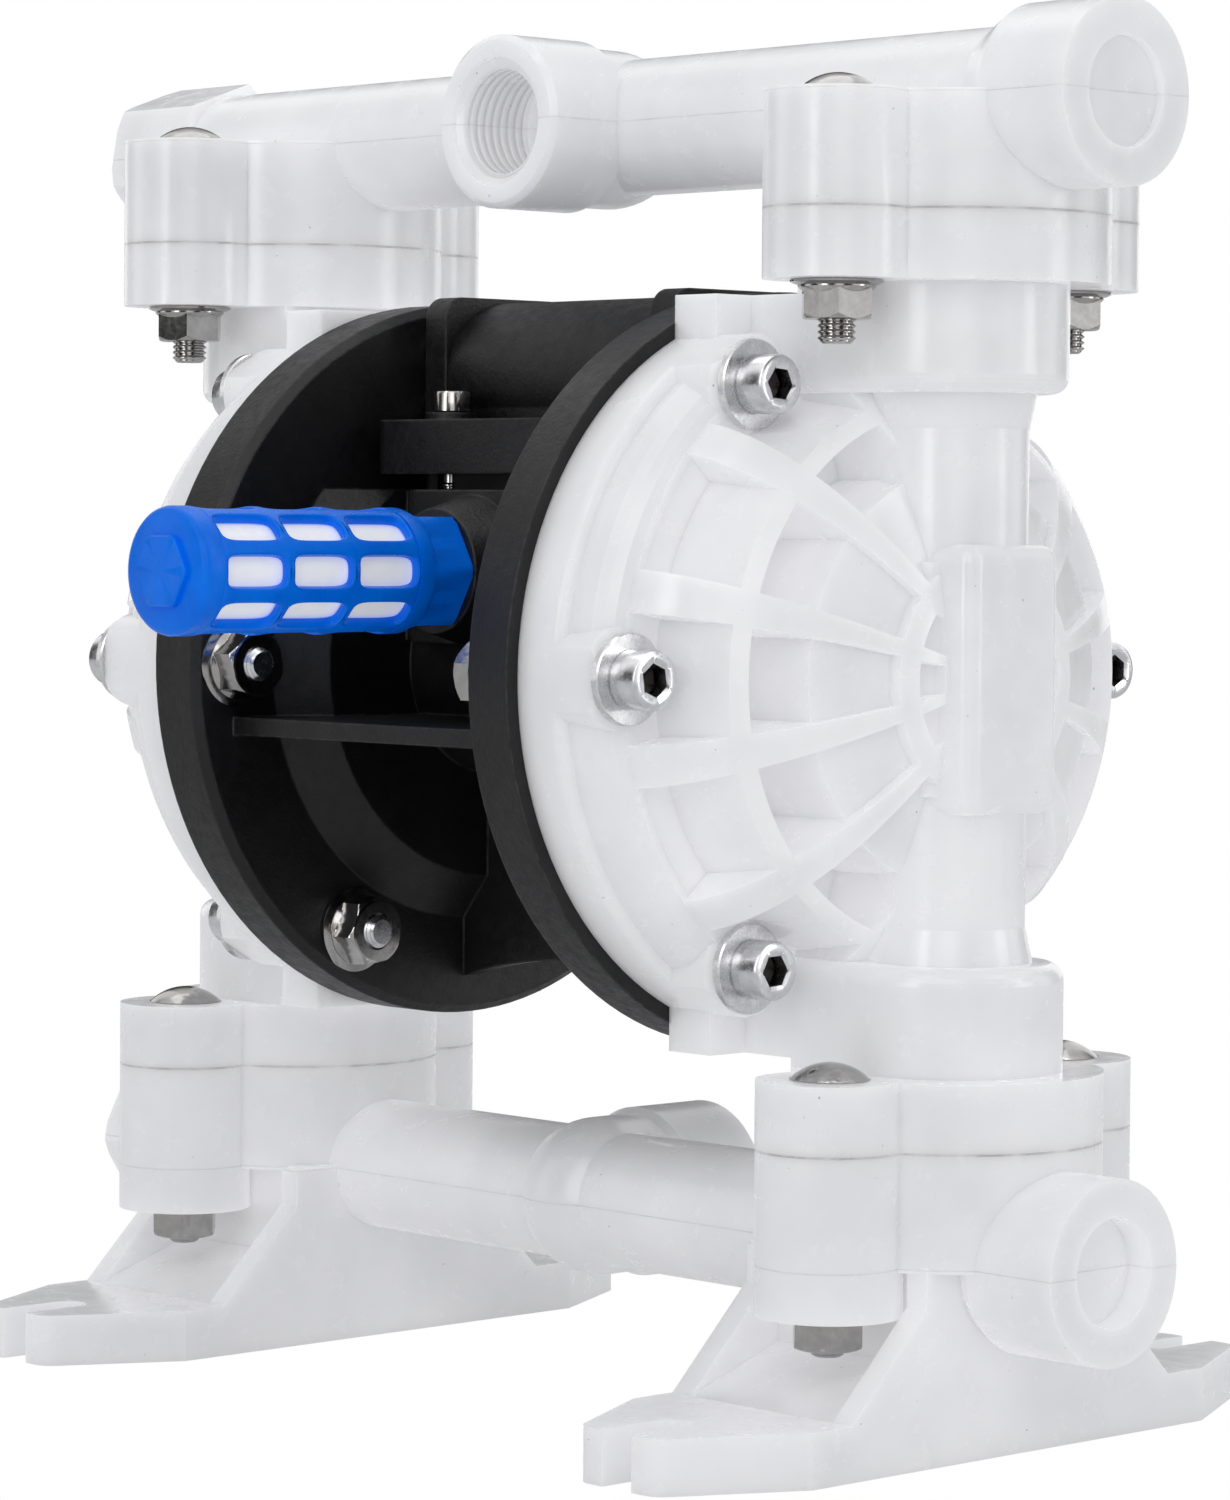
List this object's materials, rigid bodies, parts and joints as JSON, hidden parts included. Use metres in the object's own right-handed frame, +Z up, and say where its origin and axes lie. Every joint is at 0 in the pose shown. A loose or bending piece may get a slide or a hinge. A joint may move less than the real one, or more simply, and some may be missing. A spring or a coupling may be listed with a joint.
{
  "type": "air operated diaphragm pump",
  "caption": "Air operated double diaphragm pump with translucent plastic liquid ends, a black air centre block, a blue slotted exhaust muffler and slotted feet.",
  "frame": {"origin": "on the floor plane under the middle of the diaphragm shaft, midway between the four foot slots", "axes": "+X along the diaphragm shaft towards the end with round blind tube collars, -Y towards the outlet port and the muffler, +Z up"},
  "size_m": [0.253, 0.1735, 0.2415],
  "materials": {
    "clear_plastic": "natural translucent moulded, satin",
    "black_plastic": "fine textured, satin",
    "blue_plastic": "smooth gloss",
    "white_felt": "sintered felt",
    "screw_steel": "bright stainless",
    "washer_steel": "stamped stainless",
    "shaft_steel": "ground",
    "plate_metal": "turned",
    "seat_plastic": "moulded",
    "bush_plastic": "turned",
    "sleeve_brass": "turned",
    "spool_aluminium": "hard turned",
    "ball_rubber": "smooth",
    "diaphragm_rubber": "moulded sheet",
    "seal_rubber": "smooth"
  },
  "bodies": {
    "pump_body": {"air_valve_body": "black_plastic", "air_valve_gasket": "seal_rubber", "air_valve_screws": "screw_steel", "cap_seals": "seal_rubber", "centre_block": "black_plastic", "cover_inserts": "sleeve_brass", "inlet_cap": "clear_plastic", "inlet_flange_bolts": "screw_steel", "inlet_flange_nuts": "screw_steel", "inlet_manifold": "clear_plastic", "inlet_o_rings": "seal_rubber", "left_cover": "clear_plastic", "left_cover_nuts": "screw_steel", "left_cover_screws": "screw_steel", "left_cover_washers": "washer_steel", "left_diaphragm": "diaphragm_rubber", "left_inlet_seat": "seat_plastic", "left_outlet_seat": "seat_plastic", "left_valve_cap": "black_plastic", "muffler_cage": "blue_plastic", "muffler_core": "white_felt", "outlet_cap": "clear_plastic", "outlet_flange_bolts": "screw_steel", "outlet_flange_nuts": "screw_steel", "outlet_manifold": "clear_plastic", "outlet_o_rings": "seal_rubber", "pilot_bushes": "bush_plastic", "right_cover": "clear_plastic", "right_cover_nuts": "screw_steel", "right_cover_screws": "screw_steel", "right_cover_washers": "washer_steel", "right_diaphragm": "diaphragm_rubber", "right_inlet_seat": "seat_plastic", "right_outlet_seat": "seat_plastic", "right_valve_cap": "black_plastic", "shaft_bushes": "bush_plastic", "shaft_seals": "seal_rubber", "valve_cap_rings": "seal_rubber", "valve_cap_screws": "screw_steel", "valve_sleeve": "sleeve_brass"},
    "shaft_assembly": {"shaft": "shaft_steel", "shaft_nuts": "screw_steel", "left_inner_plate": "plate_metal", "right_inner_plate": "plate_metal", "left_outer_plate": "seat_plastic", "right_outer_plate": "seat_plastic"},
    "pilot_rod": {"pilot_rod": "shaft_steel"},
    "valve_spool": {"valve_spool": "spool_aluminium"},
    "left_outlet_ball": {"left_outlet_ball": "ball_rubber"},
    "right_outlet_ball": {"right_outlet_ball": "ball_rubber"},
    "left_inlet_ball": {"left_inlet_ball": "ball_rubber"},
    "right_inlet_ball": {"right_inlet_ball": "ball_rubber"}
  },
  "joints": [
    {"name": "shaft_stroke", "type": "slide", "parent": "pump_body", "child": "shaft_assembly", "axis": [1, 0, 0], "range_m": [-0.004, 0.004], "deforming": ["left_diaphragm", "right_diaphragm"]},
    {"name": "pilot_shift", "type": "slide", "parent": "pump_body", "child": "pilot_rod", "axis": [1, 0, 0], "range_m": [-0.0024, 0.0024]},
    {"name": "valve_spool_shift", "type": "slide", "parent": "pump_body", "child": "valve_spool", "axis": [1, 0, 0], "range_m": [-0.003, 0.003]},
    {"name": "left_outlet_ball_lift", "type": "slide", "parent": "pump_body", "child": "left_outlet_ball", "axis": [0, 0, 1], "range_m": [0, 0.004]},
    {"name": "right_outlet_ball_lift", "type": "slide", "parent": "pump_body", "child": "right_outlet_ball", "axis": [0, 0, 1], "range_m": [0, 0.004]},
    {"name": "left_inlet_ball_lift", "type": "slide", "parent": "pump_body", "child": "left_inlet_ball", "axis": [0, 0, 1], "range_m": [0, 0.004]},
    {"name": "right_inlet_ball_lift", "type": "slide", "parent": "pump_body", "child": "right_inlet_ball", "axis": [0, 0, 1], "range_m": [0, 0.004]}
  ],
  "couplings": [
    {"joint": "pilot_shift", "follows": "shaft_stroke", "ratio": 0.6}
  ]
}
